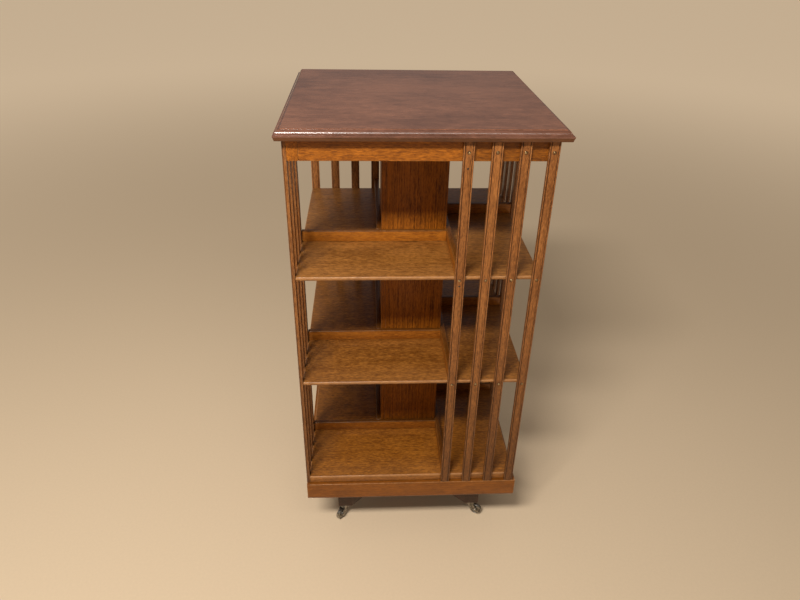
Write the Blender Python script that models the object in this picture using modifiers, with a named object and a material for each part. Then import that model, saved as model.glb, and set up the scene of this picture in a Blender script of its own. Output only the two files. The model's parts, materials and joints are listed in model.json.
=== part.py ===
"""Three-tier revolving bookcase in oak, on a cross base with four small castors.

The square case hangs on a steel spindle that stands on the base. Each face of the case is the
face before it turned a quarter turn about the spindle, like the vanes of a pinwheel: four slats
close its right-hand third, and a row of books goes in on its left.
Metres, +Z up, with the origin on the floor below the spindle.
"""

from math import cos, pi, radians, sin, sqrt

import bmesh
import bpy
from mathutils import Matrix, Vector

GAP = 0.0003  # left between pieces that touch

# Case
TOTAL_HEIGHT = 1.016
TOP_WIDTH = 0.508
TOP_THICKNESS = 0.0190
CASE_WIDTH = 0.4702  # over the shelf edges and the frieze, without the slats
FRIEZE_HEIGHT = 0.039
FRIEZE_THICKNESS = 0.020
SHELF_THICKNESS = 0.0082
SHELF_TOPS = {"shelf_upper": 0.7311, "shelf_middle": 0.4815}
BOTTOM_BOARD_TOP = 0.2093
BOTTOM_BOARD_THICKNESS = 0.0185
PLINTH_HEIGHT = 0.047
PLINTH_THICKNESS = 0.018
SLATS_PER_FACE = 4
SLAT_WIDTH = 0.0196
SLAT_THICKNESS = 0.0070
SLATTED_WIDTH = 0.168
COLUMN_WIDTH = 0.1364
COLUMN_BOARD_THICKNESS = 0.0095
STOP_HEIGHT = 0.0245
STOP_THICKNESS = 0.0102
QUARTER_NAMES = ("front", "right", "back", "left")
TIER_NAMES = ("upper", "middle", "lower")

# Spindle and bearings
SPINDLE_RADIUS = 0.0095
SPINDLE_TOP = 0.9605
BEARING_RADIUS = 0.0099
CUP_RIM = 0.941  # lower edge of the pivot cup
BUSH_RADIUS = 0.016
BUSH_HEIGHT = 0.023
STRAP_LENGTH = 0.156  # of the iron strap that holds the guide bush
STRAP_WIDTH = 0.040
STRAP_THICKNESS = 0.005
ROUND_STEPS = 32

# Base and castors
ARM_WIDTH = 0.048
ARM_TIP = 0.249  # from the spindle's axis to the pointed end of an arm
ARM_BOTTOM = 0.044
ARM_END_TOP = 0.088
ARM_MIDDLE_TOP = 0.132
ARM_LAP = 0.086  # height at which the two arms are halved together
CASTOR_REACH = 0.222  # from the spindle's axis to a castor's swivel axis
CASTOR_TRAIL = 0.020
CASTOR_HEADINGS = (-130, -32, 52, 141)  # degrees, where each wheel trails at rest
WHEEL_HEIGHT = 0.015  # of the axle above the floor
WHEEL_WIDTH = 0.0105
WHEEL_STEPS = 24
AXLE_RADIUS = 0.0025
PIN_RADIUS = 0.004  # of the upright pin that a castor swivels on
PIN_TOP = 0.066
PIN_STEPS = 16
COLLAR_TOP = 0.0415

TOP_UNDERSIDE = TOTAL_HEIGHT - TOP_THICKNESS
PLINTH_TOP = BOTTOM_BOARD_TOP - BOTTOM_BOARD_THICKNESS - GAP
PLINTH_BOTTOM = PLINTH_TOP - PLINTH_HEIGHT
HALF_CASE = CASE_WIDTH / 2
HALF_PLINTH = HALF_CASE + GAP + SLAT_THICKNESS
HALF_COLUMN = COLUMN_WIDTH / 2
COLUMN_INSIDE = HALF_COLUMN - COLUMN_BOARD_THICKNESS - 2 * GAP


def clear_scene():
    for item in list(bpy.data.objects):
        bpy.data.objects.remove(item, do_unlink=True)


def new_collection(name):
    collection = bpy.data.collections.new(name)
    bpy.context.scene.collection.children.link(collection)
    return collection


def finish(name, colour, roughness, metallic=0.0):
    """A plain Principled material."""
    material = bpy.data.materials.new(name)
    material.use_nodes = True
    shader = material.node_tree.nodes["Principled BSDF"]
    shader.inputs["Base Color"].default_value = (*colour, 1.0)
    shader.inputs["Roughness"].default_value = roughness
    shader.inputs["Metallic"].default_value = metallic
    return material


clear_scene()
PARTS = new_collection("revolving_bookcase")
CUTTERS = new_collection("cutters")
POLISHED_OAK = finish("polished_oak", (0.145, 0.048, 0.026), 0.25)
GOLDEN_OAK = finish("golden_oak", (0.33, 0.13, 0.035), 0.40)
SHELF_OAK = finish("shelf_oak", (0.25, 0.105, 0.028), 0.42)
RED_OAK = finish("red_oak", (0.105, 0.030, 0.010), 0.45)
SLAT_OAK = finish("slat_oak", (0.23, 0.085, 0.030), 0.38)
DARK_WOOD = finish("dark_wood", (0.030, 0.013, 0.007), 0.55)
STEEL = finish("steel", (0.42, 0.41, 0.40), 0.38, 1.0)
DARK_IRON = finish("dark_iron", (0.060, 0.056, 0.052), 0.50, 1.0)
BRONZE = finish("bronze", (0.20, 0.16, 0.12), 0.42, 1.0)


def pivot(name, location):
    """An empty on the axis that its children turn about."""
    empty = bpy.data.objects.new(name, None)
    empty.location = location
    PARTS.objects.link(empty)
    return empty


def add(name, mesh, material, parent=None, location=(0, 0, 0), turn=0.0):
    """One sub-part: the mesh under its own name, turned about Z and placed."""
    if material and not mesh.materials:
        mesh.materials.append(material)
    piece = bpy.data.objects.new(name, mesh)
    piece.location = location
    piece.rotation_euler.z = turn
    piece.parent = parent
    PARTS.objects.link(piece)
    return piece


def quarter(index):
    """The angle of a face, counted from the front one."""
    return index * pi / 2


def box_mesh(name, low, high):
    """A box between two corners."""
    middle = (Vector(low) + Vector(high)) / 2
    size = Vector(high) - Vector(low)
    box = bmesh.new()
    bmesh.ops.create_cube(box, size=1, matrix=Matrix.Translation(middle) @ Matrix.Diagonal((*size, 1)))
    mesh = bpy.data.meshes.new(name)
    box.to_mesh(mesh)
    box.free()
    return mesh


def made_real(draft):
    """The closed mesh of an object as it looks with its modifiers; the object is removed."""
    PARTS.objects.link(draft)
    evaluated = draft.evaluated_get(bpy.context.evaluated_depsgraph_get())
    mesh = bpy.data.meshes.new_from_object(evaluated)
    mesh.name = draft.name
    welded = bmesh.new()
    welded.from_mesh(mesh)
    bmesh.ops.remove_doubles(welded, verts=welded.verts, dist=0.000001)
    welded.to_mesh(mesh)
    welded.free()
    bpy.data.objects.remove(draft)
    return mesh


def outline_mesh(name, outlines, bottom, top):
    """A flat outline in XY, with any inner outlines as holes, made solid from bottom to top."""
    curve = bpy.data.curves.new(name, "CURVE")
    curve.dimensions = "2D"
    curve.fill_mode = "BOTH"
    curve.extrude = (top - bottom) / 2
    for points in outlines:
        spline = curve.splines.new("POLY")
        spline.points.add(len(points) - 1)
        for target, (x, y) in zip(spline.points, points):
            target.co = (x, y, 0, 1)
        spline.use_cyclic_u = True
    mesh = made_real(bpy.data.objects.new(name, curve))
    mesh.transform(Matrix.Translation((0, 0, (bottom + top) / 2)))
    return mesh


def turned_mesh(name, profile, steps, start=0.0):
    """A shape turned about Z from (radius, height) points that run down its outer side."""
    mesh = bpy.data.meshes.new(name)
    points = [(radius * cos(start), radius * sin(start), height) for radius, height in profile]
    mesh.from_pydata(points, [(i, i + 1) for i in range(len(points) - 1)], [])
    draft = bpy.data.objects.new(name, mesh)
    screw = draft.modifiers.new("turn", "SCREW")
    screw.steps = steps
    screw.render_steps = steps
    screw.use_merge_vertices = True
    screw.merge_threshold = 0.000001
    mesh = made_real(draft)
    mesh.shade_smooth()
    mesh.set_sharp_from_angle(angle=radians(30))
    return mesh


def circle(radius, steps, centre=(0, 0)):
    return [(centre[0] + radius * cos(2 * pi * i / steps), centre[1] + radius * sin(2 * pi * i / steps))
            for i in range(steps)]


def rod_profile(radius, bottom, top):
    """The outer side of a plain upright rod."""
    return [(0, top), (radius, top), (radius, bottom), (0, bottom)]


def arc(centre, radius, start, end, steps):
    """Points along an arc between two angles in degrees."""
    angles = [radians(start + (end - start) * i / steps) for i in range(steps + 1)]
    return [(centre[0] + radius * cos(a), centre[1] + radius * sin(a)) for a in angles]


def square(half):
    return [(-half, -half), (half, -half), (half, half), (-half, half)]


def cutter(name, mesh):
    """An object that only shapes others."""
    tool = bpy.data.objects.new(name, mesh)
    tool.hide_render = True
    tool.display_type = "WIRE"
    CUTTERS.objects.link(tool)
    return tool


def combine(piece, tool, operation):
    """Cut, join or intersect a piece with a tool that shares its frame."""
    tool.parent = piece.parent
    tool.location = piece.location
    tool.rotation_euler = piece.rotation_euler
    boolean = piece.modifiers.new(operation.lower(), "BOOLEAN")
    boolean.operation = operation
    boolean.solver = "EXACT"
    boolean.object = tool


def soften(piece, width, segments):
    """Round a board's arrises."""
    bevel = piece.modifiers.new("arris", "BEVEL")
    bevel.width = width
    bevel.segments = segments
    bevel.limit_method = "ANGLE"
    bevel.angle_limit = radians(40)


def top_board(case):
    """The top, with its mitred edge: a groove, a sloping thumb, a quirk, a square fillet and a bevel."""
    half = TOP_WIDTH / 2
    groove = half - 0.0110
    shoulder = half - 0.0036
    z = TOTAL_HEIGHT
    edge = [(0, z), (groove - 0.0010, z), (groove - 0.0006, z - 0.0012), (groove + 0.0010, z - 0.0012),
            (groove + 0.0018, z - 0.0008), (groove + 0.0030, z - 0.0013)]
    edge += [(groove + 0.0064, z - 0.0054), (shoulder - 0.0004, z - 0.0066), (shoulder, z - 0.0078)]
    edge += [(shoulder, z - 0.0090), (half - 0.0006, z - 0.0092), (half, z - 0.0097), (half, z - 0.0122),
             (half - 0.0007, z - 0.0127), (half - 0.0022, z - 0.0184), (half - 0.0029, z - TOP_THICKNESS),
             (0, z - TOP_THICKNESS)]
    profile = [(x * sqrt(2), height) for x, height in edge]
    mesh = turned_mesh("top_board", profile, 4, start=pi / 4)
    mesh.shade_flat()
    add("top_board", mesh, POLISHED_OAK, case)


def frieze_rails(case):
    """Four rails butted round in turn, each covering the end of the one before."""
    low = (-HALF_CASE + FRIEZE_THICKNESS + GAP, -HALF_CASE, TOP_UNDERSIDE - FRIEZE_HEIGHT)
    high = (HALF_CASE, -HALF_CASE + FRIEZE_THICKNESS, TOP_UNDERSIDE - GAP)
    mesh = box_mesh("frieze_rail", low, high)
    for index, name in enumerate(QUARTER_NAMES):
        add(f"frieze_rail_{name}", mesh, GOLDEN_OAK, case, turn=quarter(index))


def shelves(case):
    """Two shelves that fit round the column, and the bottom board that the column stands on."""
    for name, top in SHELF_TOPS.items():
        shelf_board(name, case, top - SHELF_THICKNESS, top, HALF_COLUMN + GAP, 0.0028)
    bottom = BOTTOM_BOARD_TOP - BOTTOM_BOARD_THICKNESS
    shelf_board("bottom_board", case, bottom, BOTTOM_BOARD_TOP, COLUMN_INSIDE, 0.0018)


def shelf_board(name, case, bottom, top, half_hole, arris):
    """A square board with its arrises rounded, and a square hole in the middle."""
    mesh = box_mesh(name, (-HALF_CASE, -HALF_CASE, bottom), (HALF_CASE, HALF_CASE, top))
    board = add(name, mesh, SHELF_OAK, case)
    soften(board, arris, 3)
    past = 0.01
    hole = outline_mesh("hole", [square(half_hole)], bottom - past, top + past)
    combine(board, cutter(f"{name}_hole", hole), "DIFFERENCE")


def column_boards(case):
    """The square column that hides the spindle, four boards butted round in turn."""
    low = (-HALF_COLUMN + COLUMN_BOARD_THICKNESS + GAP, -HALF_COLUMN, BOTTOM_BOARD_TOP + GAP)
    high = (HALF_COLUMN, -HALF_COLUMN + COLUMN_BOARD_THICKNESS, TOP_UNDERSIDE - GAP)
    mesh = box_mesh("column_board", low, high)
    for index, name in enumerate(QUARTER_NAMES):
        add(f"column_board_{name}", mesh, RED_OAK, case, turn=quarter(index))


def book_stops(case):
    """A strip behind each row of books, from the case's edge to the far side of the column."""
    for tier, shelf_top in zip(TIER_NAMES, (*SHELF_TOPS.values(), BOTTOM_BOARD_TOP)):
        back = -HALF_COLUMN - GAP
        low = (-HALF_CASE + 0.0005, back - STOP_THICKNESS, shelf_top + GAP)
        high = (HALF_COLUMN, back, shelf_top + STOP_HEIGHT)
        mesh = box_mesh("book_stop", low, high)
        for index, name in enumerate(QUARTER_NAMES):
            add(f"book_stop_{tier}_{name}", mesh, GOLDEN_OAK, case, turn=quarter(index))


def slat_outline():
    """A slat in plan: flat back, and a quirked bead along each edge of its front."""
    half = SLAT_WIDTH / 2
    bead = 0.0013
    quirk = 0.0011
    front = -SLAT_THICKNESS
    left_bead = arc((-half + bead, front + bead), bead, 180, 360, 4)
    left = [(-half, 0), *left_bead, (-half + 2 * bead + quirk, front + bead), (-half + 2 * bead + quirk, front)]
    right = [(-x, y) for x, y in reversed(left)]
    return left + right


def slats(case):
    """Four slats on the right of each face, from the plinth up to the top board."""
    bottom = PLINTH_TOP + GAP
    mesh = outline_mesh("slat", [slat_outline()], bottom, TOP_UNDERSIDE - GAP)
    pitch = (SLATTED_WIDTH - SLAT_WIDTH) / (SLATS_PER_FACE - 1)
    for index, name in enumerate(QUARTER_NAMES):
        for place in range(SLATS_PER_FACE):
            along = HALF_CASE - SLAT_WIDTH / 2 - (SLATS_PER_FACE - 1 - place) * pitch
            spot = Matrix.Rotation(quarter(index), 3, "Z") @ Vector((along, -HALF_CASE - GAP, 0))
            add(f"slat_{name}_{place + 1}", mesh, SLAT_OAK, case, spot, quarter(index))


def plinth_rails(case):
    """Four mitred rails under the bottom board, flush with the slats that stand on them."""
    outer = HALF_PLINTH
    inner = HALF_PLINTH - PLINTH_THICKNESS
    outline = [(-outer + GAP, -outer), (outer - GAP, -outer), (inner - GAP, -inner), (-inner + GAP, -inner)]
    mesh = outline_mesh("plinth_rail", [outline], PLINTH_BOTTOM, PLINTH_TOP)
    for index, name in enumerate(QUARTER_NAMES):
        add(f"plinth_rail_{name}", mesh, GOLDEN_OAK, case, turn=quarter(index))


def head_bearing(case):
    """The block at the top of the column, and the cup under it that turns on the spindle's end."""
    block_bottom = TOP_UNDERSIDE - 0.022
    low = (-COLUMN_INSIDE, -COLUMN_INSIDE, block_bottom)
    high = (COLUMN_INSIDE, COLUMN_INSIDE, TOP_UNDERSIDE - GAP)
    add("head_block", box_mesh("head_block", low, high), DARK_WOOD, case)
    flange = block_bottom - GAP
    seat = SPINDLE_TOP + 2 * GAP
    cup = [(0, flange), (0.032, flange), (0.032, flange - 0.003), (0.017, flange - 0.005), (0.017, CUP_RIM),
           (BEARING_RADIUS, CUP_RIM), (BEARING_RADIUS, seat), (0, seat)]
    add("pivot_cup", turned_mesh("pivot_cup", cup, ROUND_STEPS), DARK_IRON, case)


def guide_bush(case):
    """A round-ended iron strap across the hole in the bottom board, with the guide bush on it."""
    top = PLINTH_TOP
    bottom = top - STRAP_THICKNESS
    bush_top = bottom + BUSH_HEIGHT
    round_end = STRAP_WIDTH / 2
    reach = STRAP_LENGTH / 2 - round_end
    outline = arc((reach, 0), round_end, -90, 90, 8) + arc((-reach, 0), round_end, 90, 270, 8)
    strap = add("guide_bush", outline_mesh("guide_bush", [outline], bottom, top), DARK_IRON, case)
    sleeve = turned_mesh("sleeve", rod_profile(BUSH_RADIUS, (bottom + top) / 2, bush_top), ROUND_STEPS)
    combine(strap, cutter("guide_sleeve", sleeve), "UNION")
    bore = turned_mesh("bore", rod_profile(BEARING_RADIUS, bottom - 0.01, bush_top + 0.01), ROUND_STEPS)
    combine(strap, cutter("guide_bore", bore), "DIFFERENCE")


def spindle():
    """The steel spindle and the flange that holds it on the crossing of the arms."""
    foot = ARM_MIDDLE_TOP + GAP
    plate = 0.0062
    flange = [(0.017, foot + 0.033), (0.019, foot + plate + 0.003), (0.048, foot + plate), (0.048, foot),
              (BEARING_RADIUS, foot), (BEARING_RADIUS, foot + 0.033), (0.017, foot + 0.033)]
    add("spindle_flange", turned_mesh("spindle_flange", flange, ROUND_STEPS), DARK_IRON)
    chamfer = 0.0015
    rod = [(0, SPINDLE_TOP), (SPINDLE_RADIUS - chamfer, SPINDLE_TOP), (SPINDLE_RADIUS, SPINDLE_TOP - chamfer),
           (SPINDLE_RADIUS, foot), (0, foot)]
    add("spindle", turned_mesh("spindle", rod, ROUND_STEPS), STEEL)


def arm_side_outline(lap_from_top):
    """An arm from the side: level below, sweeping up to its middle, and notched for the other."""
    notch = ARM_WIDTH / 2 + GAP
    flat_half = 0.070
    sweep_end = 0.215
    sweep_steps = 8
    right = []
    for step in range(sweep_steps + 1):
        part = step / sweep_steps
        height = ARM_END_TOP + (ARM_MIDDLE_TOP - ARM_END_TOP) * (1 + cos(pi * part)) / 2
        right.append((flat_half + (sweep_end - flat_half) * part, height))
    right.append((ARM_TIP + 0.01, ARM_END_TOP))
    left = [(-x, z) for x, z in reversed(right)]
    if lap_from_top:
        top_notch = [(-notch, ARM_MIDDLE_TOP), (-notch, ARM_LAP), (notch, ARM_LAP), (notch, ARM_MIDDLE_TOP)]
        bottom_notch = []
    else:
        lap = ARM_LAP + GAP
        top_notch = []
        bottom_notch = [(notch, ARM_BOTTOM), (notch, lap), (-notch, lap), (-notch, ARM_BOTTOM)]
    ends = [(ARM_TIP + 0.01, ARM_BOTTOM)]
    return left + top_notch + right + ends + bottom_notch + [(-x, z) for x, z in reversed(ends)]


def arm_plan_outline():
    """An arm from above: parallel sides and a right-angled point at each end."""
    half = ARM_WIDTH / 2
    neck = ARM_TIP - half
    return [(-ARM_TIP, 0), (-neck, -half), (neck, -half), (ARM_TIP, 0), (neck, half), (-neck, half)]


def base_arms():
    """The two arms of the cross, halved together, with a hole up each end for a castor's pin."""
    for name, turn, lap_from_top in (("base_arm_lower", 45, True), ("base_arm_upper", 135, False)):
        side_view = outline_mesh(name, [arm_side_outline(lap_from_top)], -ARM_WIDTH, ARM_WIDTH)
        side_view.transform(Matrix.Rotation(pi / 2, 4, "X"))
        arm = add(name, side_view, DARK_WOOD, turn=radians(turn))
        plan = outline_mesh("arm_plan", [arm_plan_outline()], 0.030, 0.140)
        combine(arm, cutter(f"{name}_plan", plan), "INTERSECT")
        for side in (-1, 1):
            round_hole = circle(PIN_RADIUS + GAP, PIN_STEPS, (side * CASTOR_REACH, 0))
            hole = outline_mesh("pin_hole", [round_hole], ARM_BOTTOM - 0.01, PIN_TOP + 0.002)
            combine(arm, cutter(f"{name}_pin_hole_{side}", hole), "DIFFERENCE")


def horn_side_outline():
    """A castor's horn from the side, sweeping from its collar back and down to the axle."""
    boss = 0.0060
    around_axle = arc((CASTOR_TRAIL, WHEEL_HEIGHT), boss, -120, 60, 6)
    crown = COLLAR_TOP - GAP
    return [(-0.009, crown), (-0.009, crown - 0.006), *around_axle, (0.013, crown - 0.004), (0.010, crown)]


def swivel_pin_profile():
    """The pin that goes up into the arm, and the round collar below it."""
    return [(0, PIN_TOP), (PIN_RADIUS, PIN_TOP), (PIN_RADIUS, COLLAR_TOP), (0.0105, COLLAR_TOP),
            (0.0105, COLLAR_TOP - 0.004), (0.0085, COLLAR_TOP - 0.006), (0, COLLAR_TOP - 0.006)]


def axle_profile(half_width):
    """The wheel's axle, from one riveted head to the other."""
    head = half_width + 0.0012
    under_head = half_width - 0.0004
    upper = [(0, head), (0.0028, head), (0.0038, under_head), (AXLE_RADIUS, under_head)]
    return upper + [(radius, -height) for radius, height in reversed(upper)]


def castor_meshes():
    """The horn's cheeks, its swivel pin, the pocket for the wheel and the axle."""
    half_width = 0.0075
    pocket_half = WHEEL_WIDTH / 2 + 0.0004
    pocket_radius = WHEEL_HEIGHT + 0.0015
    upright = Matrix.Rotation(pi / 2, 4, "X")
    to_axle = Matrix.Translation((CASTOR_TRAIL, 0, WHEEL_HEIGHT)) @ upright
    cheeks = outline_mesh("castor_horn", [horn_side_outline()], -half_width, half_width)
    cheeks.transform(upright)
    pin = turned_mesh("swivel_pin", swivel_pin_profile(), PIN_STEPS)
    pocket = outline_mesh("wheel_pocket", [circle(pocket_radius, WHEEL_STEPS)], -pocket_half, pocket_half)
    pocket.transform(to_axle)
    axle = turned_mesh("axle", axle_profile(half_width), PIN_STEPS)
    axle.transform(to_axle)
    return cheeks, pin, pocket, axle


def wheel_mesh():
    """A small wheel with a flat tread, a raised hub and a flat of the tread on the floor."""
    tread = WHEEL_HEIGHT / cos(pi / WHEEL_STEPS)
    bore = AXLE_RADIUS + GAP
    hub = WHEEL_WIDTH / 2
    rim = hub - 0.0008
    profile = [(bore, hub), (0.0052, hub), (0.0060, rim - 0.0008), (0.0118, rim - 0.0008), (0.0126, rim),
               (tread - 0.0010, rim), (tread, rim - 0.0010)]
    profile += [(radius, -height) for radius, height in reversed(profile)]
    profile.append(profile[0])
    mesh = turned_mesh("castor_wheel", profile, WHEEL_STEPS, start=pi / WHEEL_STEPS)
    mesh.transform(Matrix.Rotation(pi / 2, 4, "X"))
    return mesh


def castors():
    """Four castors under the ends of the arms: each horn swivels, and its wheel turns in it."""
    cheeks, pin, pocket, axle = castor_meshes()
    wheel = wheel_mesh()
    for index, heading in enumerate(CASTOR_HEADINGS):
        name = f"{'front' if index < 2 else 'back'}_{'left' if index in (0, 3) else 'right'}"
        bearing = quarter(index) - radians(135)
        swivel = pivot(f"swivel_{name}", (CASTOR_REACH * cos(bearing), CASTOR_REACH * sin(bearing), 0))
        swivel.rotation_euler.z = radians(heading)
        horn = add(f"castor_horn_{name}", cheeks.copy(), BRONZE, swivel)
        combine(horn, cutter(f"{name}_pin", pin), "UNION")
        combine(horn, cutter(f"{name}_pocket", pocket), "DIFFERENCE")
        combine(horn, cutter(f"{name}_axle", axle), "UNION")
        add(f"castor_wheel_{name}", wheel, BRONZE, swivel, (CASTOR_TRAIL, 0, WHEEL_HEIGHT))


def build():
    case = pivot("case_pivot", (0, 0, 0))
    top_board(case)
    frieze_rails(case)
    shelves(case)
    column_boards(case)
    book_stops(case)
    slats(case)
    plinth_rails(case)
    head_bearing(case)
    guide_bush(case)
    spindle()
    base_arms()
    castors()


build()
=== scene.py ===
"""Looks of the oak revolving bookcase: its finishes, worn arrises, nail heads, castor plates and screws.

Metres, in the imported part's own frame: the spindle is the Z axis, the floor is z = 0, and the front
face looks along -Y. Each face is the front one turned a quarter turn about Z.
"""

import json
import random
from dataclasses import dataclass
from math import cos, pi, radians, sin

import bmesh
import bpy
from mathutils import Matrix, Vector


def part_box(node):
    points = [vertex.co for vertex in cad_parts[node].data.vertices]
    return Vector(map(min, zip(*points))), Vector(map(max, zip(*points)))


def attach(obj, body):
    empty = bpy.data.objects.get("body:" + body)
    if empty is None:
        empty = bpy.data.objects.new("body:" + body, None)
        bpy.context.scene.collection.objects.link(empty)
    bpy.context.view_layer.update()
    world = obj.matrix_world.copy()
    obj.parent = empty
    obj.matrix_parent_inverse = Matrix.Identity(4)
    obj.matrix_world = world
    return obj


QUARTERS = ("front", "right", "back", "left")
CORNERS = ("front_left", "front_right", "back_right", "back_left")

# Camera
CAMERA_PLACE = (-0.0990, -1.3110, 1.3189)
CAMERA_TURN = -3.3546  # degrees about Z
CAMERA_TILT = 59.338  # degrees up from looking straight down
CAMERA_ROLL = 1.2016  # degrees
CAMERA_LENS = 29.01  # mm, on a 36 mm sensor

# Lights
KEY_Y = -1.743
KEY_Z = 2.607
KEY_THICKNESS = 0.26
KEY_TILT = 39.0  # degrees forward from looking straight down
KEYS = {"key": (-0.80, 0.90, 66.0), "key_wings": (-0.70, 3.20, 22.0)}  # middle's x, length and power
KEY_COLOUR = (1.0, 0.955, 0.89)

# Room and floor
FRONT_WALL = (0.22, 0.185, 0.14)
BACK_WALL = (0.205, 0.185, 0.178)
CEILING = (0.36, 0.33, 0.29)
SKIRT = (0.30, 0.26, 0.21)
RIGHT_SHADE = (0.55, 0.54, 0.52)  # what the walls' colour is multiplied by on the right
FLOOR_COLOUR = (0.725, 0.570, 0.396)
NEAR_GLOW = 0.035  # of the floor, for light passed on under the case
FAR_GLOW = 0.55  # keeps the floor pale beyond the key light's reach
GLOW_REACH = (0.9, 6.0)  # distances from the spindle between which the floor's glow grows
FLOOR_HALF = 50.0

# Where the room's colours change, along one axis of the direction looked in
FRONT_TO_BACK = (-0.1, 0.6)  # Y
MIDDLE_TO_RIGHT = (0.05, 0.60)  # X
WALL_TO_CEILING = (0.75, 0.92)  # Z
SKIRT_TO_WALL = (-0.08, 0.04)  # Z

# The figure of oak: the scales of its noises, along the grain and twice across it
WANDER_SCALE = (1.6, 7, 7)
STREAK_SCALE = (6.0, 330, 330)
FLECK_SCALE = (110, 480, 480)
MOTTLE_SCALE = (24, 62, 62)
CLOUD_SCALE = (5, 9, 9)
RAY_SCALE = (34, 150, 150)
PORE_SCALE = (50, 800, 800)
FRAY_SCALE = (95, 95, 95)  # of the wear along arrises
WANDER = 0.016  # how far the grain wanders sideways in all
CONTRAST = 2.6  # of a noise, whose values keep near its middle
RAY_TINT = (1.45, 1.50, 1.6)
PORE_TINT = (0.42, 0.36, 0.34)
GROOVE_SHADE_COLOUR = (0.036, 0.010, 0.003)
NAIL_HALO_COLOUR = (0.020, 0.008, 0.004)  # of the wood round a nail: stain, with painted shade of the nail head

# Where painted shade and reflection, stains and wear lie
LOW_SHADE_HEIGHTS = (0.15, 0.75)  # the painted shade is full below the first and gone above the second
GROOVE_OFFSET = 0.00665  # of a slat's grooves from its middle line
GROOVE_HALF = (0.0003, 0.0010)
BEAD_DEPTH = (0.0018, 0.0030)  # from a slat's front to the end of its beads
SLAT_SIDE = (0.0090, 0.0096)  # from a slat's middle line
NAIL_HALO_RADIUS = (0.0024, 0.0044)
MOULDING_WIDTH = (0.0095, 0.0115)
BEVEL_HEIGHT = (0.0055, 0.0070)  # of the bevel at the foot of the moulding
FADE_REACH = (0.010, 0.075)

# Fittings
CASTOR_REACH = 0.222
ARM_BOTTOM = 0.044
PLATE_BOTTOM = ARM_BOTTOM - 0.0022
PLATE_RADIUS = 0.0158
PLATE_HOLE = 0.0050
PLATE_BEVEL = (0.0013, 0.0010)  # in and up
PLATE_SCREW_CIRCLE = 0.0122
FLANGE_THICKNESS = 0.0074  # where its screws sit
FLANGE_SCREW_CIRCLE = 0.036
STRAP_SCREW_REACH = 0.066
NAIL_RADIUS = 0.0023
NAIL_HEIGHT = 0.0010
NAIL_SCATTER = 0.0010
NAIL_RISE = 0.0175  # of the top nails above the frieze's foot

# Softened edges
SHARP_ANGLE = radians(38)  # edges over this stay sharp in the shading
BEVEL_ANGLE = radians(35)  # arrises over this are rounded
FOOT_ROUND = 0.0058  # along the foot of the plinth
ARRISES = {
    "frieze_rail": 0.0008, "column_board": 0.0008, "book_stop": 0.0012,
    "slat": 0.0004, "plinth_rail": 0.0012, "base_arm": 0.0018, "head_block": 0.0010,
    "guide_bush": 0.0006, "spindle_flange": 0.0004, "castor_horn": 0.0003,
}

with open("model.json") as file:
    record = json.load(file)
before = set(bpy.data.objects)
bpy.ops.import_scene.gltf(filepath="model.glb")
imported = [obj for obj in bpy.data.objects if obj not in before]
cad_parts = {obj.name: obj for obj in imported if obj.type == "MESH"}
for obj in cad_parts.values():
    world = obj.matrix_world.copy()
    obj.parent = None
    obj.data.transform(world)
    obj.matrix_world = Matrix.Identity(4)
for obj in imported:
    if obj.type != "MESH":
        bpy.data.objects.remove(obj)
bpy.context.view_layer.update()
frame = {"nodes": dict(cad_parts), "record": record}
NODES = frame["nodes"]
SLAT_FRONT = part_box("slat_front_1")[0].y
SLAT_MIDDLES = [sum(corner.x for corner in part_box(f"slat_front_{i}")) / 2 for i in (1, 2, 3, 4)]
SHELF_MIDDLES = [sum(corner.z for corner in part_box(name)) / 2 for name in ("shelf_upper", "shelf_middle")]
FRIEZE_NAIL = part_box("frieze_rail_front")[0].z + NAIL_RISE
NAIL_LEVELS = (FRIEZE_NAIL, SHELF_MIDDLES[0] - 0.0015, SHELF_MIDDLES[1] - 0.0020)
OLD_HOLES = ((0, 0.947), (0, SHELF_MIDDLES[0] - 0.0140))  # slat's place from the left, and height
random.seed(7)


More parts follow.
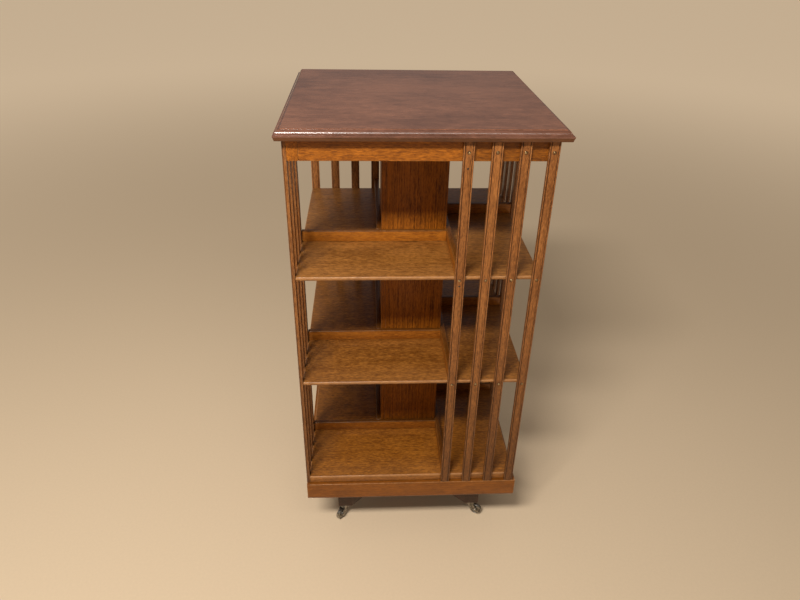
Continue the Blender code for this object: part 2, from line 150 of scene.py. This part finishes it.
class Shader:
    """A material's nodes, with short ways to add and join them."""

    def __init__(self, name):
        self.material = bpy.data.materials.new(name)
        self.material.use_nodes = True
        self.nodes = self.material.node_tree.nodes
        self.surface = self.nodes["Principled BSDF"]

    def join(self, value, socket):
        """Link an output to a socket, or set the socket to a plain value."""
        if isinstance(value, bpy.types.NodeSocket):
            self.material.node_tree.links.new(value, socket)
        else:
            socket.default_value = value

    def node(self, kind, **settings):
        made = self.nodes.new(kind)
        for key, value in settings.items():
            setattr(made, key, value)
        return made

    def math(self, operation, a, b=0.0, c=0.0):
        made = self.node("ShaderNodeMath", operation=operation)
        for value, socket in zip((a, b, c), made.inputs):
            self.join(value, socket)
        return made.outputs[0]

    def vector(self, operation, a, b=(0, 0, 0)):
        made = self.node("ShaderNodeVectorMath", operation=operation)
        self.join(a, made.inputs[0])
        self.join(b, made.inputs[1])
        return made.outputs[0]

    def scaled(self, vector, factor):
        made = self.node("ShaderNodeVectorMath", operation="SCALE")
        self.join(vector, made.inputs["Vector"])
        self.join(factor, made.inputs["Scale"])
        return made.outputs[0]

    def parts(self, vector):
        made = self.node("ShaderNodeSeparateXYZ")
        self.join(vector, made.inputs[0])
        return made.outputs

    def noise(self, place, scale, detail=2.0, roughness=0.5, distortion=0.0):
        """Noise from 0 to 1, its scale given along the grain and across it."""
        made = self.node("ShaderNodeTexNoise")
        self.join(self.vector("MULTIPLY", place, scale), made.inputs["Vector"])
        made.inputs["Scale"].default_value = 1.0
        made.inputs["Detail"].default_value = detail
        made.inputs["Roughness"].default_value = roughness
        made.inputs["Distortion"].default_value = distortion
        return made.outputs["Fac"]

    def step(self, value, low, high, start=0.0, end=1.0):
        """A smooth step from start to end as the value goes from low to high."""
        made = self.node("ShaderNodeMapRange", interpolation_type="SMOOTHSTEP")
        for number, socket in zip((value, low, high, start, end), made.inputs):
            self.join(number, socket)
        return made.outputs[0]

    def mix(self, factor, a, b, blend="MIX"):
        made = self.node("ShaderNodeMix", data_type="RGBA", blend_type=blend)
        self.join(factor, made.inputs[0])
        self.join(a if isinstance(a, bpy.types.NodeSocket) else (*a, 1), made.inputs[6])
        self.join(b if isinstance(b, bpy.types.NodeSocket) else (*b, 1), made.inputs[7])
        return made.outputs[2]

    def tinted(self, colour, tint):
        return self.mix(1.0, colour, tint, "MULTIPLY")

    def own(self, name):
        """A value or vector that each object holds under this name."""
        return self.node("ShaderNodeAttribute", attribute_type="OBJECT", attribute_name=name)

    def bump(self, height, depth, strength):
        """Relief in the shading, its depth in metres."""
        made = self.node("ShaderNodeBump")
        made.inputs["Distance"].default_value = depth
        made.inputs["Strength"].default_value = strength
        self.join(height, made.inputs["Height"])
        self.join(made.outputs[0], self.surface.inputs["Normal"])

    def gloss(self, roughness, coat=0.0, coat_roughness=0.1, metallic=0.0, specular=0.5):
        """Set how the surface shines. Only roughness and coat may vary over it."""
        self.join(roughness, self.surface.inputs["Roughness"])
        self.join(coat, self.surface.inputs["Coat Weight"])
        self.surface.inputs["Coat Roughness"].default_value = coat_roughness
        self.surface.inputs["Metallic"].default_value = metallic
        self.surface.inputs["Specular IOR Level"].default_value = specular


@dataclass
class Oak:
    """One stain and polish of oak. Colours are linear, and amounts go from 0 to 1."""
    dark: tuple
    light: tuple
    worn: tuple
    grain: str = "x"
    streaks: float = 0.30  # fine lines along the grain
    flecks: float = 0.50  # short dashes along the grain
    mottle: float = 0.20
    clouds: float = 0.15  # slow changes of the stain over a hand's width
    rays: float = 0.30  # pale ray flecks
    pores: float = 0.45
    wear: float = 0.5  # pale arrises
    wear_width: float = 0.0016
    rim: float = 0.0  # bare wood on a shelf's narrow edges, paler at their top as a painted highlight, less so lower down as painted shade
    faded: float = 0.0  # paler wood within a hand's width of a shelf's edges
    groove_shade: float = 0.0  # painted shade in the grooves beside a slat's beads, and on its sides
    edge: tuple = ()  # what the colour of a moulded edge is multiplied by: painted shade with a painted greyish reflection of the room
    foot: tuple = ()  # the same for the bevel under a moulded edge: painted shade
    low_shade: tuple = ()  # painted shade: what the colour is multiplied by near the floor
    darker_top: float = 0.0  # how much darker the narrow top is
    slat_shadow: float = 0.0  # painted shadow of the slats: how much darker the wood is between them
    roughness: float = 0.38
    coat: float = 0.25
    specular: float = 0.5
    relief: float = 0.35


OAKS = {
    "polished_oak": Oak(dark=(0.130, 0.046, 0.022), light=(0.285, 0.112, 0.057), worn=(0.300, 0.140, 0.075),
                        streaks=0.16, flecks=0.36, mottle=0.36, clouds=0.45, rays=0.30, pores=0.30, wear=0.20,
                        edge=(0.66, 0.70, 0.84), foot=(0.48, 0.40, 0.20), roughness=0.27, coat=0.45,
                        relief=0.0),
    "frieze_oak": Oak(dark=(0.165, 0.044, 0.003), light=(0.400, 0.126, 0.010), worn=(0.42, 0.20, 0.06),
                      flecks=0.75, rays=0.5, roughness=0.42, coat=0.05, specular=0.3, slat_shadow=0.28),
    "shelf_oak": Oak(dark=(0.120, 0.038, 0.004), light=(0.340, 0.138, 0.027), worn=(0.52, 0.27, 0.12),
                     flecks=0.88, mottle=0.26, rays=0.38, wear=0.25, rim=0.50, faded=0.07,
                     low_shade=(0.92, 0.80, 0.42), roughness=0.42, coat=0.09, specular=0.3),
    "column_oak": Oak(dark=(0.085, 0.020, 0.001), light=(0.380, 0.115, 0.008), worn=(0.34, 0.13, 0.04),
                      grain="z", streaks=0.60, flecks=0.48, wear=0.4, roughness=0.45, coat=0.0, specular=0.2,
                      low_shade=(0.72, 0.70, 0.66)),
    "stop_oak": Oak(dark=(0.220, 0.060, 0.004), light=(0.430, 0.145, 0.013), worn=(0.50, 0.24, 0.07),
                    flecks=0.7, wear=0.20, wear_width=0.0022, coat=0.05, specular=0.35,
                    low_shade=(0.70, 0.67, 0.60), darker_top=0.6),
    "slat_oak": Oak(dark=(0.138, 0.044, 0.009), light=(0.360, 0.136, 0.033), worn=(0.50, 0.25, 0.11),
                    grain="z", streaks=0.30, flecks=0.70, wear=0.50, groove_shade=0.85, roughness=0.38, coat=0.10,
                    specular=0.35, low_shade=(0.55, 0.53, 0.46)),
    "plinth_oak": Oak(dark=(0.130, 0.037, 0.003), light=(0.275, 0.086, 0.008), worn=(0.46, 0.24, 0.09),
                      flecks=0.3, wear=0.5, wear_width=0.0022, coat=0.10, specular=0.35),
    "dark_wood": Oak(dark=(0.030, 0.012, 0.007), light=(0.100, 0.040, 0.021), worn=(0.14, 0.07, 0.04),
                     wear=0.35, rays=0.05, roughness=0.50, coat=0.05),
}


def oak(name, look):
    """Quarter-sawn oak, its grain along X or Z of the face that the piece belongs to."""
    wood = Shader(name)
    here = wood.node("ShaderNodeTexCoord").outputs["Object"]
    turned = wood.node("ShaderNodeVectorRotate", rotation_type="Z_AXIS")
    wood.join(here, turned.inputs["Vector"])
    wood.join(wood.own("turn").outputs["Fac"], turned.inputs["Angle"])
    local = turned.outputs[0]
    straight, place = along_grain(wood, local, look.grain)
    streaks = wood.noise(place, STREAK_SCALE, 3.0, 0.6)
    mottle = wood.noise(place, MOTTLE_SCALE, 3.0, 0.55, 0.4)
    pores = wood.step(wood.noise(place, PORE_SCALE, 1.0), 0.56, 0.68)
    fray = wood.noise(here, FRAY_SCALE, 3.0, 0.6)
    arris, rim, depth, height = edge_distances(wood, local)
    worn_to = wood.math("MULTIPLY", wood.step(fray, 0.30, 0.75, 0.25, 1.6), look.wear_width)
    wear = wood.step(arris, 0.0, worn_to, look.wear, 0.0)

    colour = figured(wood, look, straight, place, streaks, mottle, pores)
    colour = darkened(wood, look, here, local, depth, colour)
    # painted shade and reflection on the moulded edge, and painted shade on the bevel under it
    if look.edge:
        moulded = wood.step(rim, *MOULDING_WIDTH, 1.0, 0.0)
        tint = wood.mix(wood.step(height, *BEVEL_HEIGHT), look.foot, look.edge)
        colour = wood.mix(moulded, colour, wood.tinted(colour, tint))
    colour = wood.mix(wear, colour, look.worn)
    if look.rim:
        colour = wood.mix(wood.step(rim, *FADE_REACH, look.faded, 0.0), colour, look.worn)
        colour = wood.mix(bare_rim_and_highlight(wood, rim, depth, fray, look.rim), colour, look.worn)
    if look.groove_shade:
        # painted shade in the slats' grooves and on their sides
        colour = wood.mix(painted_groove_shade(wood, local, look.groove_shade), colour, GROOVE_SHADE_COLOUR)
        # dark ring round each nail: stain, with painted shade of its head
        colour = wood.mix(nail_stain_and_shade(wood, local), colour, NAIL_HALO_COLOUR)
    wood.join(colour, wood.surface.inputs["Base Color"])

    shine = wood.math("MULTIPLY_ADD", wood.math("SUBTRACT", mottle, 0.5), 0.6 * look.relief, look.roughness)
    shine = wood.math("MULTIPLY_ADD", pores, 0.45 * look.relief, shine)
    shine = wood.math("MULTIPLY_ADD", wear, 0.12, shine)
    coat = wood.step(height, *BEVEL_HEIGHT, 0.0, look.coat) if look.edge else look.coat
    wood.gloss(shine, coat, 0.12, specular=look.specular)
    relief = wood.math("MULTIPLY_ADD", pores, -0.7, wood.math("MULTIPLY", streaks, 0.5))
    wood.bump(relief, 0.00035, look.relief)
    return wood.material


def along_grain(wood, local, axis):
    """Places along and across the grain, new on each piece: on straight lines, and wandering a little."""
    x, y, z = wood.parts(wood.vector("ADD", local, wood.own("shift").outputs["Vector"]))
    along = wood.node("ShaderNodeCombineXYZ")
    for part, socket in zip((x, y, z) if axis == "x" else (z, x, y), along.inputs):
        wood.join(part, socket)
    straight = along.outputs[0]
    wander = wood.noise(straight, WANDER_SCALE, 2.0)
    shift = wood.math("MULTIPLY_ADD", wander, WANDER, -WANDER / 2)
    sway = wood.node("ShaderNodeCombineXYZ")
    wood.join(shift, sway.inputs[1])
    wood.join(shift, sway.inputs[2])
    return straight, wood.vector("ADD", straight, sway.outputs[0])


def figured(wood, look, straight, place, streaks, mottle, pores):
    """The stained wood's colour, from its streaks, flecks, mottle, clouds, pale rays and dark pores."""
    flecks = wood.noise(place, FLECK_SCALE, 3.0, 0.65)
    clouds = wood.noise(straight, CLOUD_SCALE, 2.0)
    rays = wood.step(wood.noise(place, RAY_SCALE, 1.0, 0.5, 0.9), 0.54, 0.66)
    tone = wood.math("ADD", wood.own("stain").outputs["Fac"], 0.5)
    patterns = ((streaks, look.streaks), (flecks, look.flecks), (mottle, look.mottle), (clouds, look.clouds))
    for pattern, amount in patterns:
        tone = wood.math("MULTIPLY_ADD", wood.math("SUBTRACT", pattern, 0.5), CONTRAST * amount, tone)
    colour = wood.mix(wood.step(tone, 0.0, 1.0), look.dark, look.light)
    colour = wood.mix(wood.math("MULTIPLY", rays, look.rays), colour, wood.tinted(colour, RAY_TINT))
    return wood.mix(wood.math("MULTIPLY", pores, look.pores), colour, wood.tinted(colour, PORE_TINT))


def darkened(wood, look, here, local, depth, colour):
    """The colour, darker near the floor and between the slats as painted shade, or on a narrow top, as the
    look says.
    """
    # painted shade: the wood darker towards the floor, where less light reaches
    if look.low_shade:
        unshaded = wood.step(wood.parts(here)[2], *LOW_SHADE_HEIGHTS)
        colour = wood.mix(unshaded, wood.tinted(colour, look.low_shade), colour)
    # painted shadow: the wood darker between the slats, which shade it
    if look.slat_shadow:
        colour = wood.scaled(colour, wood.math("SUBTRACT", 1.0, between_slats(wood, local, look.slat_shadow)))
    # the wood darker along the narrow top
    if look.darker_top:
        colour = wood.scaled(colour, wood.step(depth, 0.0012, 0.0028, 1 - look.darker_top, 1.0))
    return colour


def bare_rim_and_highlight(wood, rim, depth, fray, amount):
    """How bare the wood is along the narrow edges of a shelf: real wear, made paler near the top as a painted
    highlight and duller lower down as painted shade.
    """
    bare = wood.step(rim, 0.0004, 0.0022, amount, 0.0)
    # painted highlight near the top of the edge, painted shade lower down
    bare = wood.math("MULTIPLY", bare, wood.step(depth, 0.0022, 0.0060, 1.0, 0.20))
    return wood.math("MULTIPLY", bare, wood.step(fray, 0.25, 0.55, 0.6, 1.0))


def between_slats(wood, local, amount):
    """The amount between a face's first and last slats, and 0 elsewhere."""
    first, last = SLAT_MIDDLES[0], SLAT_MIDDLES[3]
    across = wood.parts(local)[0]
    return wood.math("MULTIPLY", wood.step(across, first - 0.03, first + 0.02, 0.0, amount),
                     wood.step(across, last + 0.005, last + 0.009, 1.0, 0.0))


def edge_distances(wood, local):
    """Distances to a piece's nearest arris, nearest upright side, top and foot, from its own box."""
    from_low = wood.vector("SUBTRACT", local, wood.own("low").outputs["Vector"])
    from_high = wood.vector("SUBTRACT", wood.own("high").outputs["Vector"], local)
    x, y, z = wood.parts(wood.vector("MINIMUM", from_low, from_high))
    nearer = wood.math("MINIMUM", x, y)
    farther = wood.math("MAXIMUM", x, y)
    arris = wood.math("MAXIMUM", nearer, wood.math("MINIMUM", farther, z))
    return arris, nearer, wood.parts(from_high)[2], wood.parts(from_low)[2]


def painted_groove_shade(wood, local, amount):
    """Darker wood in the two grooves of a slat, painted shade with some old polish, and on its sides beside
    the beads, painted shade between the slats.
    """
    off = wood.math("ABSOLUTE", wood.math("SUBTRACT", from_middle(wood, local), GROOVE_OFFSET))
    in_groove = wood.step(off, *GROOVE_HALF, amount, 0.0)
    behind_front = wood.parts(wood.vector("SUBTRACT", local, wood.own("low").outputs["Vector"]))[1]
    on_side = wood.math("MULTIPLY", wood.step(behind_front, *BEAD_DEPTH, 0.8 * amount, 0.15),
                        wood.step(from_middle(wood, local), *SLAT_SIDE))
    return wood.math("MAXIMUM", in_groove, on_side)


def from_middle(wood, local):
    """Distance across a slat from its middle line."""
    ends = wood.vector("ADD", wood.own("low").outputs["Vector"], wood.own("high").outputs["Vector"])
    middle = wood.scaled(ends, 0.5)
    return wood.math("ABSOLUTE", wood.parts(wood.vector("SUBTRACT", local, middle))[0])


def nail_stain_and_shade(wood, local):
    """The dark ring round each nail of a slat: stain in the wood, with painted shade of the nail head."""
    height = wood.parts(local)[2]
    off = 1.0
    for level in NAIL_LEVELS:
        off = wood.math("MINIMUM", wood.math("ABSOLUTE", wood.math("SUBTRACT", height, level)), off)
    across = from_middle(wood, local)
    radius = wood.math("SQRT", wood.math("ADD", wood.math("MULTIPLY", across, across),
                                         wood.math("MULTIPLY", off, off)))
    return wood.step(radius, *NAIL_HALO_RADIUS, 0.75, 0.0)


def metal(name, dark, light, roughness, metallic=1.0):
    """Old metal, tarnished in patches and finely pitted. Old wax in a nail hole is made the same way."""
    spots = 0.3
    skin = Shader(name)
    here = skin.node("ShaderNodeTexCoord").outputs["Object"]
    patches = skin.noise(here, (120, 120, 120), 4.0, 0.6)
    pits = skin.noise(here, (900, 900, 900), 2.0)
    colour = skin.mix(skin.step(patches, 0.35, 0.68), dark, light)
    skin.join(colour, skin.surface.inputs["Base Color"])
    skin.gloss(skin.math("MULTIPLY_ADD", patches, -spots, roughness + spots / 2), metallic=metallic)
    skin.bump(pits, 0.0002, 0.3)
    return skin.material


METALS = {
    "steel": metal("steel", (0.30, 0.29, 0.28), (0.50, 0.49, 0.48), 0.34),
    "dark_iron": metal("dark_iron", (0.040, 0.036, 0.033), (0.10, 0.09, 0.08), 0.50),
    "castor_metal": metal("castor_metal", (0.11, 0.098, 0.085), (0.46, 0.43, 0.38), 0.36),
}
NAIL_METAL = metal("nail_metal", (0.28, 0.19, 0.09), (0.62, 0.47, 0.26), 0.30)
OLD_WAX = metal("old_wax", (0.012, 0.006, 0.004), (0.030, 0.015, 0.009), 0.60, metallic=0.0)
MATERIALS = {slot: oak(slot, look) for slot, look in OAKS.items()}
MATERIALS.update(METALS)


def shading_by_angle():
    """A modifier's node group that shades smooth, except over edges that stay sharp."""
    group = bpy.data.node_groups.new("shading_by_angle", "GeometryNodeTree")
    group.interface.new_socket("Geometry", in_out="INPUT", socket_type="NodeSocketGeometry")
    group.interface.new_socket("Geometry", in_out="OUTPUT", socket_type="NodeSocketGeometry")
    nodes, links = group.nodes, group.links
    start = nodes.new("NodeGroupInput")
    end = nodes.new("NodeGroupOutput")
    clear = nodes.new("GeometryNodeRemoveAttribute")
    clear.inputs["Name"].default_value = "custom_normal"
    smooth = nodes.new("GeometryNodeSetShadeSmooth")
    smooth.domain = "FACE"
    crease = nodes.new("GeometryNodeSetShadeSmooth")
    crease.domain = "EDGE"
    crease.inputs["Shade Smooth"].default_value = False
    angle = nodes.new("GeometryNodeInputMeshEdgeAngle")
    over = nodes.new("FunctionNodeCompare")
    over.operation = "GREATER_THAN"
    over.inputs["B"].default_value = SHARP_ANGLE
    links.new(angle.outputs["Unsigned Angle"], over.inputs["A"])
    links.new(over.outputs["Result"], crease.inputs["Selection"])
    links.new(start.outputs[0], clear.inputs["Geometry"])
    links.new(clear.outputs["Geometry"], smooth.inputs["Geometry"])
    links.new(smooth.outputs["Geometry"], crease.inputs["Geometry"])
    links.new(crease.outputs["Geometry"], end.inputs[0])
    return group


SHADING = shading_by_angle()


def mark_lower_edges(piece, turn):
    """Give a bevel weight to a rail's edges along its front's foot."""
    weights = piece.data.attributes.new("bevel_weight_edge", "FLOAT", "EDGE")
    unturn = Matrix.Rotation(-turn, 3, "Z")
    points = [unturn @ vertex.co for vertex in piece.data.vertices]
    front = min(point.y for point in points)
    foot = min(point.z for point in points)
    for edge in piece.data.edges:
        if all(abs(points[i].y - front) + abs(points[i].z - foot) < 0.0005 for i in edge.vertices):
            weights.data[edge.index].value = 1.0


def soften(piece, width, foot_round):
    """Round a CAD node's arrises, on the shown mesh only."""
    weld = piece.modifiers.new("weld", "WELD")
    weld.merge_threshold = 0.00001
    if foot_round:
        bevel = piece.modifiers.new("foot", "BEVEL")
        bevel.width = foot_round
        bevel.segments = 5
        bevel.limit_method = "WEIGHT"
    if width:
        bevel = piece.modifiers.new("arris", "BEVEL")
        bevel.width = width
        bevel.segments = 3
        bevel.limit_method = "ANGLE"
        bevel.angle_limit = BEVEL_ANGLE
        bevel.use_clamp_overlap = True
    shading = piece.modifiers.new("shading", "NODES")
    shading.node_group = SHADING


def quarter_of(name):
    """How many quarter turns a piece's face is from the front one."""
    for index, face in enumerate(QUARTERS):
        if f"_{face}" in name:
            return index
    return 0


def describe(piece, turn):
    """Give a wooden piece what its material reads: its turn, its box as its face sees it, its own stain."""
    unturn = Matrix.Rotation(-turn, 3, "Z")
    points = [unturn @ vertex.co for vertex in piece.data.vertices]
    piece["turn"] = -turn
    piece["low"] = [min(point[i] for point in points) for i in range(3)]
    piece["high"] = [max(point[i] for point in points) for i in range(3)]
    piece["shift"] = [random.uniform(-3, 3) for _ in range(3)]
    piece["stain"] = random.uniform(-0.08, 0.08)


def dress_nodes():
    """Give each CAD node its finish and soft arrises."""
    slots = {row["node"]: row["material_slot"] for row in frame["record"]["subparts"]}
    for name, piece in sorted(NODES.items()):
        slot = slots[name]
        turn = quarter_of(name) * pi / 2
        piece.data.materials.clear()
        piece.data.materials.append(MATERIALS[slot])
        if slot in OAKS:
            describe(piece, turn)
        width = next((w for stem, w in ARRISES.items() if name.startswith(stem)), 0.0)
        if name.startswith("plinth_rail"):
            mark_lower_edges(piece, turn)
        soften(piece, width, FOOT_ROUND if name.startswith("plinth_rail") else 0.0)


def new_piece(name, mesh_maker, material, body):
    """An object built by a function that fills a bmesh; it rides on a body."""
    shape = bmesh.new()
    mesh_maker(shape)
    bmesh.ops.recalc_face_normals(shape, faces=shape.faces)
    mesh = bpy.data.meshes.new(name)
    shape.to_mesh(mesh)
    shape.free()
    mesh.materials.append(material)
    mesh.shade_smooth()
    mesh.set_sharp_from_angle(angle=SHARP_ANGLE)
    piece = bpy.data.objects.new(name, mesh)
    bpy.context.scene.collection.objects.link(piece)
    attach(piece, body)
    return piece


def lathe(shape, profile, matrix, steps=16):
    """Turn (radius, height) points about Z, then place the result. Points on the axis close it."""
    rings = []
    for radius, height in profile:
        if radius == 0:
            rings.append([shape.verts.new(matrix @ Vector((0, 0, height)))] * steps)
        else:
            rings.append([shape.verts.new(matrix @ Vector((radius * cos(2 * pi * i / steps),
                                                           radius * sin(2 * pi * i / steps), height)))
                          for i in range(steps)])
    for ring, following in zip(rings, rings[1:]):
        for i in range(steps):
            j = (i + 1) % steps
            corners = []
            for vertex in (ring[i], ring[j], following[j], following[i]):
                if vertex not in corners:
                    corners.append(vertex)
            if len(corners) > 2:
                shape.faces.new(corners)


def dome(radius, height, seat=0.0006, rings=5):
    """The outer side of a round nail head, from its crown to below the wood's surface."""
    curve = [(radius * sin(pi / 2 * i / rings), height * cos(pi / 2 * i / rings)) for i in range(rings + 1)]
    return curve + [(radius * 0.9, -seat), (0, -seat)]


def slat_nails(index):
    """The nails through one face's slats, into the frieze and the shelves' edges."""
    def build(shape):
        turn = Matrix.Rotation(index * pi / 2, 4, "Z")
        for x in SLAT_MIDDLES:
            for z in NAIL_LEVELS:
                aside = random.uniform(-NAIL_SCATTER, NAIL_SCATTER)
                above = random.uniform(-NAIL_SCATTER, NAIL_SCATTER)
                spot = Matrix.Translation((x + aside, SLAT_FRONT, z + above))
                lathe(shape, dome(NAIL_RADIUS, NAIL_HEIGHT), turn @ spot @ Matrix.Rotation(pi / 2, 4, "X"))
    return build


def old_holes(shape):
    """Old nail holes in the front slats, filled with dark wax."""
    for slat, z in OLD_HOLES:
        spot = Matrix.Translation((SLAT_MIDDLES[slat], SLAT_FRONT, z))
        lathe(shape, dome(0.0019, 0.0002), spot @ Matrix.Rotation(pi / 2, 4, "X"))


def screw_heads(places, z, facing_up, radius=0.0030):
    """Round screw heads at some (x, y) places of a level face."""
    def build(shape):
        turn = Matrix.Rotation(0 if facing_up else pi, 4, "X")
        for x, y in places:
            lathe(shape, dome(radius, radius / 3), Matrix.Translation((x, y, z)) @ turn, 12)
    return build


def ring_of(count, radius, start=0.0, centre=(0.0, 0.0)):
    """Places spread evenly round a circle."""
    angles = [start + 2 * pi * i / count for i in range(count)]
    return [(centre[0] + radius * cos(angle), centre[1] + radius * sin(angle)) for angle in angles]


def castor_plate(index):
    """The round plate that a castor turns against, screwed under the end of an arm."""
    def build(shape):
        bearing = radians(90 * index - 135)
        x, y = CASTOR_REACH * cos(bearing), CASTOR_REACH * sin(bearing)
        inward, upward = PLATE_BEVEL
        plate = [(PLATE_HOLE, ARM_BOTTOM), (PLATE_HOLE, PLATE_BOTTOM), (PLATE_RADIUS - inward, PLATE_BOTTOM),
                 (PLATE_RADIUS, PLATE_BOTTOM + upward), (PLATE_RADIUS, ARM_BOTTOM), (PLATE_HOLE, ARM_BOTTOM)]
        lathe(shape, plate, Matrix.Translation((x, y, 0)), 40)
        screws = ring_of(3, PLATE_SCREW_CIRCLE, bearing, (x, y))
        screw_heads(screws, PLATE_BOTTOM, False, 0.0019)(shape)
    return build


def add_fittings():
    """The nails, the filled holes, the castor plates and the screws."""
    for index, face in enumerate(QUARTERS):
        new_piece(f"slat_nails_{face}", slat_nails(index), NAIL_METAL, "case")
    new_piece("old_nail_holes", old_holes, OLD_WAX, "case")
    brass = METALS["castor_metal"]
    for index, corner in enumerate(CORNERS):
        new_piece(f"castor_plate_{corner}", castor_plate(index), brass, "base")
    flange_screws = screw_heads(ring_of(4, FLANGE_SCREW_CIRCLE),
                                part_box("spindle_flange")[0].z + FLANGE_THICKNESS, True)
    new_piece("flange_screws", flange_screws, METALS["steel"], "base")
    strap_screws = screw_heads(ring_of(2, STRAP_SCREW_REACH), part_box("guide_bush")[0].z, False)
    new_piece("strap_screws", strap_screws, METALS["steel"], "case")


def add_floor():
    """A plain pale floor, large enough to fill the view."""
    mesh = bpy.data.meshes.new("floor")
    corners = [(x * FLOOR_HALF, y * FLOOR_HALF, 0) for x, y in ((-1, -1), (1, -1), (1, 1), (-1, 1))]
    mesh.from_pydata(corners, [], [(0, 1, 2, 3)])
    carpet = Shader("floor")
    here = carpet.node("ShaderNodeTexCoord").outputs["Object"]
    grain = carpet.noise(here, (160, 160, 160), 3.0)
    darker = tuple(value * 0.93 for value in FLOOR_COLOUR)
    colour = carpet.mix(grain, darker, FLOOR_COLOUR)
    carpet.join(colour, carpet.surface.inputs["Base Color"])
    carpet.gloss(0.95, specular=0.1)
    distance = carpet.node("ShaderNodeVectorMath", operation="LENGTH")
    carpet.join(here, distance.inputs[0])
    # painted light: the floor glows, faintly near the case to lift the shade under it, strongly far off to
    # keep the floor evenly pale
    carpet.join(colour, carpet.surface.inputs["Emission Color"])
    far = carpet.step(distance.outputs["Value"], *GLOW_REACH, NEAR_GLOW, FAR_GLOW)
    carpet.join(far, carpet.surface.inputs["Emission Strength"])
    mesh.materials.append(carpet.material)
    floor = bpy.data.objects.new("floor", mesh)
    bpy.context.scene.collection.objects.link(floor)


def add_world():
    """A soft room: warm in front, greyer behind, darker on the right, with a lighter ceiling."""
    world = bpy.data.worlds.new("room")
    bpy.context.scene.world = world
    world.use_nodes = True
    nodes, links = world.node_tree.nodes, world.node_tree.links
    direction = nodes.new("ShaderNodeSeparateXYZ")
    links.new(nodes.new("ShaderNodeTexCoord").outputs["Generated"], direction.inputs[0])

    def blend(value, span, first, second):
        """A colour that goes smoothly from the first to the second as the value crosses the span."""
        step = nodes.new("ShaderNodeMapRange")
        step.interpolation_type = "SMOOTHSTEP"
        links.new(value, step.inputs[0])
        step.inputs[1].default_value, step.inputs[2].default_value = span
        mix = nodes.new("ShaderNodeMix")
        mix.data_type = "RGBA"
        links.new(step.outputs[0], mix.inputs[0])
        for colour, socket in ((first, mix.inputs[6]), (second, mix.inputs[7])):
            if isinstance(colour, tuple):
                socket.default_value = (*colour, 1)
            else:
                links.new(colour, socket)
        return mix.outputs[2]

    walls = blend(direction.outputs["Y"], FRONT_TO_BACK, FRONT_WALL, BACK_WALL)
    shade = blend(direction.outputs["X"], MIDDLE_TO_RIGHT, (1, 1, 1), RIGHT_SHADE)
    shaded = nodes.new("ShaderNodeVectorMath")
    shaded.operation = "MULTIPLY"
    links.new(walls, shaded.inputs[0])
    links.new(shade, shaded.inputs[1])
    upper = blend(direction.outputs["Z"], WALL_TO_CEILING, shaded.outputs[0], CEILING)
    room = blend(direction.outputs["Z"], SKIRT_TO_WALL, SKIRT, upper)
    links.new(room, nodes["Background"].inputs["Color"])


def add_keys():
    """The clear light: long and thin, high in front, parallel to the front, and strongest on the left."""
    for name, (x, length, power) in KEYS.items():
        data = bpy.data.lights.new(name, "AREA")
        data.shape = "RECTANGLE"
        data.size = length
        data.size_y = KEY_THICKNESS
        data.energy = power
        data.color = KEY_COLOUR
        key = bpy.data.objects.new(name, data)
        key.location = (x, KEY_Y, KEY_Z)
        key.rotation_euler.x = radians(KEY_TILT)
        bpy.context.scene.collection.objects.link(key)


def add_camera():
    """The camera, high in front and a little to the left."""
    data = bpy.data.cameras.new("camera")
    data.lens = CAMERA_LENS
    data.sensor_width = 36.0
    camera = bpy.data.objects.new("camera", data)
    camera.matrix_world = (Matrix.Translation(CAMERA_PLACE) @ Matrix.Rotation(radians(CAMERA_TURN), 4, "Z")
                           @ Matrix.Rotation(radians(CAMERA_TILT), 4, "X")
                           @ Matrix.Rotation(radians(CAMERA_ROLL), 4, "Z"))
    bpy.context.scene.collection.objects.link(camera)
    bpy.context.scene.camera = camera


def main():
    """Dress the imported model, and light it."""
    bpy.context.scene.view_settings.view_transform = "Standard"
    dress_nodes()
    add_fittings()
    add_floor()
    add_world()
    add_keys()
    add_camera()


main()
